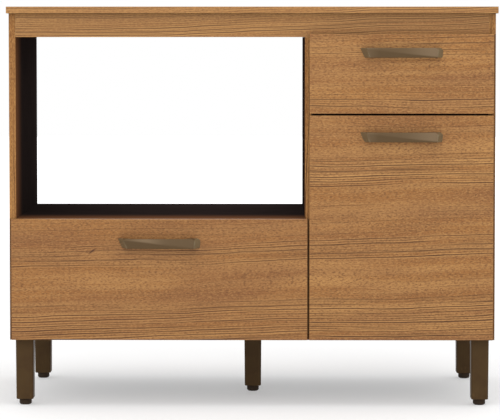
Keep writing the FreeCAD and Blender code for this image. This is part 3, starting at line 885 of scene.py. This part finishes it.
def cam_lock_faces(cast):
    """Cam locks under the base board and the niche shelf, and in the right face of the partition."""
    low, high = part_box("cam_locks")
    inset = 7.5 * MM
    sunk = 0.2 * MM
    shelf_right = 95.0 * MM
    partition_height = 189.0 * MM
    left = low[0] + inset
    right = high[0] - inset
    rows = (low[1] + inset, high[1] - inset)
    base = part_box("base_board")[0][2] + sunk
    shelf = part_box("niche_shelf")[0][2] + sunk
    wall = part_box("partition")[1][0] - sunk
    places = [((x, y, base), DOWN) for x in (left, right) for y in rows]
    places += [((x, y, shelf), DOWN) for x in (left, shelf_right) for y in rows]
    places += [((wall, y, partition_height), RIGHT) for y in rows]
    item = stamp("cam_lock_faces", head_shape("cam lock"), places, cast, "carcass")
    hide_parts("cam_locks")


def back_panel_nails(steel, spacing):
    """Nails round the edges of the two back panels, their heads sunk but for a hair."""
    sunk = 0.38 * MM
    outer_inset = 6.5 * MM
    joint_inset = 3.5 * MM
    low_inset = 6.5 * MM
    high_inset = 7.5 * MM
    places = []
    for side, left, right in (("left", outer_inset, joint_inset), ("right", joint_inset, outer_inset)):
        low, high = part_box("back_panel_" + side)
        x0 = low[0] + left
        x1 = high[0] - right
        z0 = low[2] + low_inset
        z1 = high[2] - high_inset
        rear = high[1] - sunk
        across = np.linspace(x0, x1, round((x1 - x0) / spacing) + 1)
        upward = np.linspace(z0, z1, round((z1 - z0) / spacing) + 1)[1:-1]
        places += [((x, rear, z), BACK) for x in across for z in (z0, z1)]
        places += [((x, rear, z), BACK) for x in (x0, x1) for z in upward]
    stamp("back_panel_nails", head_shape("nail"), places, steel, "carcass")


def hinge_screws(steel):
    """Two screws in each hinge cup and plate, and two adjusters on each hinge arm."""
    cup_half = 21.5 * MM
    plate_half = 17.0 * MM
    plate_in = 2.0 * MM
    plate_back = 18.0 * MM
    adjusters = (10.0 * MM, 30.0 * MM)
    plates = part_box("hinge_plates")
    plate_x = plates[1][0] - plate_in
    plate_y = plates[0][1] + plate_back
    cups = []
    feet = []
    arms = []
    for place in ("upper", "lower"):
        low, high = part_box("hinge_cup_" + place)
        centre = (low[0] + high[0]) / 2
        middle = (low[2] + high[2]) / 2
        cups += [((centre, high[1], middle + step), BACK) for step in (-cup_half, cup_half)]
        feet += [((plate_x, plate_y, middle + step), LEFT) for step in (-plate_half, plate_half)]
        low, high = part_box("hinge_arm_" + place)
        arms += [((low[0], high[1] - back, middle), LEFT) for back in adjusters]
    screw = head_shape("hinge screw")
    stamp("hinge_cup_screws", screw, cups, steel, "door")
    stamp("hinge_plate_screws", screw, feet, steel, "carcass")
    stamp("hinge_adjusters", head_shape("hinge adjuster"), arms, steel, "carcass")


class CABINET_OT_fronts(bpy.types.Operator):
    """Give the door, the drawer fronts, the rail and the top their wood print"""

    bl_idname = "cabinet.fronts"
    bl_label = "Finish the fronts and the top"

    def execute(self, context):
        wood = context.scene.cabinet_wood
        # The door's lower edge gives the height of the painted shade line.
        left, _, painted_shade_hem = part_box("door_panel")[0]
        look = {"knots": KNOTS, "painted_shade_hem": painted_shade_hem, "loose": 0.2, "warmer": (left, 0.13)}
        fronts = board("wood_fronts", wood, "-y -x +x -z +z", **look)
        dress(fronts, "door_panel", "wide_drawer_front", "small_drawer_front")
        # Painted light: the rail's print is paler, standing for light that the top's overhang keeps off it.
        dress(board("wood_rail", wood, "-y -z", "-x +x", paler=0.22), "front_rail")
        low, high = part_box("top_board")
        rim_x = 100.0 * MM
        rim_y = 40.0 * MM
        inside = ((low[0] + rim_x, low[1] + rim_y), (high[0] - rim_x, high[1] - rim_y))
        # Painted light: the top's print is paler, as if lit from above.
        dress(board("wood_top", wood, "-y +y -x +x +z", cutout=inside, paler=0.25), "top_board")
        return {"FINISHED"}


class CABINET_OT_boards(bpy.types.Operator):
    """Give the sides, the shelves, the rails and the backs their films"""

    bl_idname = "cabinet.boards"
    bl_label = "Finish the carcass"

    def execute(self, context):
        wood = context.scene.cabinet_wood
        painted_light_depth = wood.inner_painted_light_depth
        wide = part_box("wide_drawer_front")[1][2]
        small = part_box("small_drawer_front")[1][2]
        # Painted shade: each front edge is darkened below the top of the drawer front beside it.
        for node, printed, covered in (
            ("side_left", "-x -y", wide),
            ("side_right", "+x -y", small),
            ("partition", "-y", wide),
        ):
            name = "wood_" + node
            dress(board(name, wood, printed, "+y -z +z", "z", painted_light_depth, sheen=0.0, covered=covered), node)
        # Painted shade: the shelves and rails inside are near black-brown, with painted light near the front
        # of the shelves.
        shelves = board("dark_shelves", wood, "", "+y -x +x", painted_light_depth=painted_light_depth, sheen=0.0)
        dress(shelves, "base_board", "niche_shelf", "inner_shelf")
        dress(board("dark_rails", wood, "", "-x +x", sheen=0.0), "divider_rail", "back_rail")
        backs = hardboard(wood)
        dress(backs, "back_panel_left", "back_panel_right", "wide_drawer_bottom", "small_drawer_bottom")
        return {"FINISHED"}


class CABINET_OT_drawers(bpy.types.Operator):
    """Give the drawer boxes and their slides a finish"""

    bl_idname = "cabinet.drawers"
    bl_label = "Finish the drawers"

    def execute(self, context):
        wood = context.scene.cabinet_wood
        metal = context.scene.cabinet_metal
        sides_film = board("film_drawer_sides", wood, "-x +x +y +z", "-z -y", "y")
        backs_film = board("film_drawer_backs", wood, "-y +y +z", "-z -x +x")
        heights = []
        for drawer in ("wide", "small"):
            dress(sides_film, drawer + "_drawer_side_left", drawer + "_drawer_side_right")
            dress(backs_film, drawer + "_drawer_back")
            low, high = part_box(drawer + "_slide_outer_left")
            heights.append((low[2] + high[2]) / 2)
        zinc = plated("zinc_slides", metal.zinc, 0.34, heights)
        for drawer in ("wide", "small"):
            for member in ("outer", "middle", "inner"):
                slide = f"{drawer}_slide_{member}_"
                dress(zinc, slide + "left", slide + "right")
        return {"FINISHED"}


# Piece, node and body of each handle, and the painted shine that handle_tones takes.
HANDLES = (
    ("bow_handle_wide", "wide_drawer_handle", "wide_drawer", (-0.17, 0.17, 0.0)),
    ("bow_handle_small", "small_drawer_handle", "small_drawer", (0.42, 0.30, 0.45)),
    ("bow_handle_door", "door_handle", "door", (0.42, 0.30, 0.45)),
)


class CABINET_OT_handles(bpy.types.Operator):
    """Make the three bow handles with a twisted front"""

    bl_idname = "cabinet.handles"
    bl_label = "Make the handles"

    def execute(self, context):
        shape = context.scene.cabinet_handle
        finish = handle_finish(context.scene.cabinet_metal)
        half = shape.length / 2
        outwards = np.array([1.0, -1.0, 1.0])
        for piece, node, body, shine in HANDLES:
            low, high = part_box(node)
            up = (high[2] - low[2]) / 2
            reach = high[1] - low[1]
            root = np.array([low[0] + half, high[1], low[2] + up])
            rings = handle_shape(shape, half, up, reach)
            item = skin(piece, root + rings * outwards, tube_faces(*rings.shape[:2]), finish, 60.0)
            points = np.empty(len(item.data.vertices) * 3)
            item.data.vertices.foreach_get("co", points)
            tones = handle_tones(points.reshape(-1, 3) - root, shape, half, up, shine)
            for word, values in tones.items():
                item.data.attributes.new(word, "FLOAT", "POINT").data.foreach_set("value", values)
            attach(item, body)
            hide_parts(node)
        return {"FINISHED"}


class CABINET_OT_legs(bpy.types.Operator):
    """Finish the legs and make the ribbed feet"""

    bl_idname = "cabinet.legs"
    bl_label = "Finish the legs and make the feet"

    def execute(self, context):
        metal = context.scene.cabinet_metal
        nylon = moulding("nylon_feet", metal.foot, 0.5)
        brown = leg_finish(metal)
        for place in ("front_left", "front_right", "back_left", "back_right", "centre"):
            dress(brown, "leg_" + place)
            low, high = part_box("foot_" + place)
            rings = foot_shape((high[0] - low[0]) / 2, high[2])
            middle = np.array([(low[0] + high[0]) / 2, (low[1] + high[1]) / 2, 0.0])
            item = skin("levelling_foot_" + place, rings + middle, tube_faces(*rings.shape[:2]), nylon, 30.0)
            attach(item, "foot_" + place)
            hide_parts("foot_" + place)
        return {"FINISHED"}


class CABINET_OT_fittings(bpy.types.Operator):
    """Finish the hinges and make the screws, cam locks and nails"""

    bl_idname = "cabinet.fittings"
    bl_label = "Finish the hinges, make the screws and nails"

    def execute(self, context):
        metal = context.scene.cabinet_metal
        nickel = plated("nickel_hinges", metal.nickel, 0.22)
        steel = plated("zinc_screws", metal.zinc, 0.30)
        dress(nickel, "hinge_plates", "hinge_pins")
        for place in ("upper", "lower"):
            dress(nickel, "hinge_arm_" + place, "hinge_cup_" + place)
        dress(steel, "shelf_pins")
        dress(moulding("rubber_bumpers", metal.rubber, 0.6), "bumpers")
        handle_screws(steel)
        cam_lock_faces(plated("cast_zinc_cams", metal.cam, 0.5))
        back_panel_nails(steel, metal.nail_spacing)
        hinge_screws(steel)
        return {"FINISHED"}


# Place and width of each round softbox, by the value that holds its power. All point at the cabinet.
SOFTBOXES = {"key": ((-0.6, -4.2, 2.6), 2.6), "top": ((0.3, -0.6, 3.4), 2.2)}
LIT_POINT = Vector((0.0, -0.2, 0.5))


class CABINET_OT_stage(bpy.types.Operator):
    """Set the floor, the lights and the camera"""

    bl_idname = "cabinet.stage"
    bl_label = "Set the stage"

    def execute(self, context):
        stage = context.scene.cabinet_stage
        scene = context.scene
        scene.view_settings.view_transform = "Standard"
        scene.view_settings.look = "None"

        half = stage.floor_size / 2
        corners = np.array([(-half, -half, 0), (half, -half, 0), (half, half, 0), (-half, half, 0)])
        finish = Finish("pale_floor")
        x, y, _ = finish.place
        pale = finish.mix(finish.specks((0.7, 0.7, 1.0)), shaded(stage.floor, 0.98), stage.floor)
        away = (x ** 2.0 + y ** 2.0) ** 0.5
        pale = finish.mix(away.ease(2.0, 7.0), pale, WHITE)
        glowing = finish.surface(
            Base_Color=pale, Roughness=0.9, Emission_Color=(*WHITE, 1.0), Emission_Strength=stage.glow
        )
        floor = skin("studio_floor", corners, [(0, 1, 2, 3)], glowing)

        scene.world = bpy.data.worlds.new("studio")
        scene.world.use_nodes = True
        sky = scene.world.node_tree.nodes["Background"].inputs
        sky["Color"].default_value = (*WHITE, 1.0)
        sky["Strength"].default_value = stage.sky

        for name, (place, width) in SOFTBOXES.items():
            data = bpy.data.lights.new(name + "_light", "AREA")
            data.shape = "DISK"
            data.size = width
            data.energy = getattr(stage, name)
            lamp = bpy.data.objects.new(name + "_light", data)
            scene.collection.objects.link(lamp)
            lamp.location = place
            lamp.rotation_euler = (LIT_POINT - Vector(place)).to_track_quat("-Z", "Y").to_euler()

        data = bpy.data.cameras.new("photo_camera")
        data.lens = stage.lens
        data.sensor_width = stage.sensor
        data.shift_y = stage.shift
        camera = bpy.data.objects.new("photo_camera", data)
        scene.collection.objects.link(camera)
        camera.location = (stage.camera_x, stage.camera_y, stage.camera_z)
        camera.rotation_euler = Euler((math.pi / 2 - stage.pitch, 0.0, stage.turn))
        scene.camera = camera
        return {"FINISHED"}


class CABINET_PT_sidebar(bpy.types.Panel):
    """Lists the steps and the values that they use"""

    bl_idname = "CABINET_PT_sidebar"
    bl_label = "Cooktop cabinet"
    bl_space_type = "VIEW_3D"
    bl_region_type = "UI"
    bl_category = "Cabinet"

    def draw(self, context):
        for kind in OPERATORS:
            self.layout.operator(kind.bl_idname)
        for name, kind in SETTINGS.items():
            box = self.layout.box()
            for field in kind.__annotations__:
                box.prop(getattr(context.scene, name), field)


OPERATORS = (
    CABINET_OT_fronts,
    CABINET_OT_boards,
    CABINET_OT_drawers,
    CABINET_OT_handles,
    CABINET_OT_legs,
    CABINET_OT_fittings,
    CABINET_OT_stage,
)
CLASSES = (*SETTINGS.values(), *OPERATORS, CABINET_PT_sidebar)


def register():
    """Register the classes and put the values on the scene."""
    for kind in CLASSES:
        bpy.utils.register_class(kind)
    for name, kind in SETTINGS.items():
        setattr(bpy.types.Scene, name, PointerProperty(type=kind))


def unregister():
    """Take the values and the classes off again."""
    for name in SETTINGS:
        delattr(bpy.types.Scene, name)
    for kind in reversed(CLASSES):
        bpy.utils.unregister_class(kind)


def main():
    """Register and run every step in order."""
    register()
    for kind in OPERATORS:
        group, name = kind.bl_idname.split(".")
        getattr(getattr(bpy.ops, group), name)()


if __name__ == "__main__":
    main()
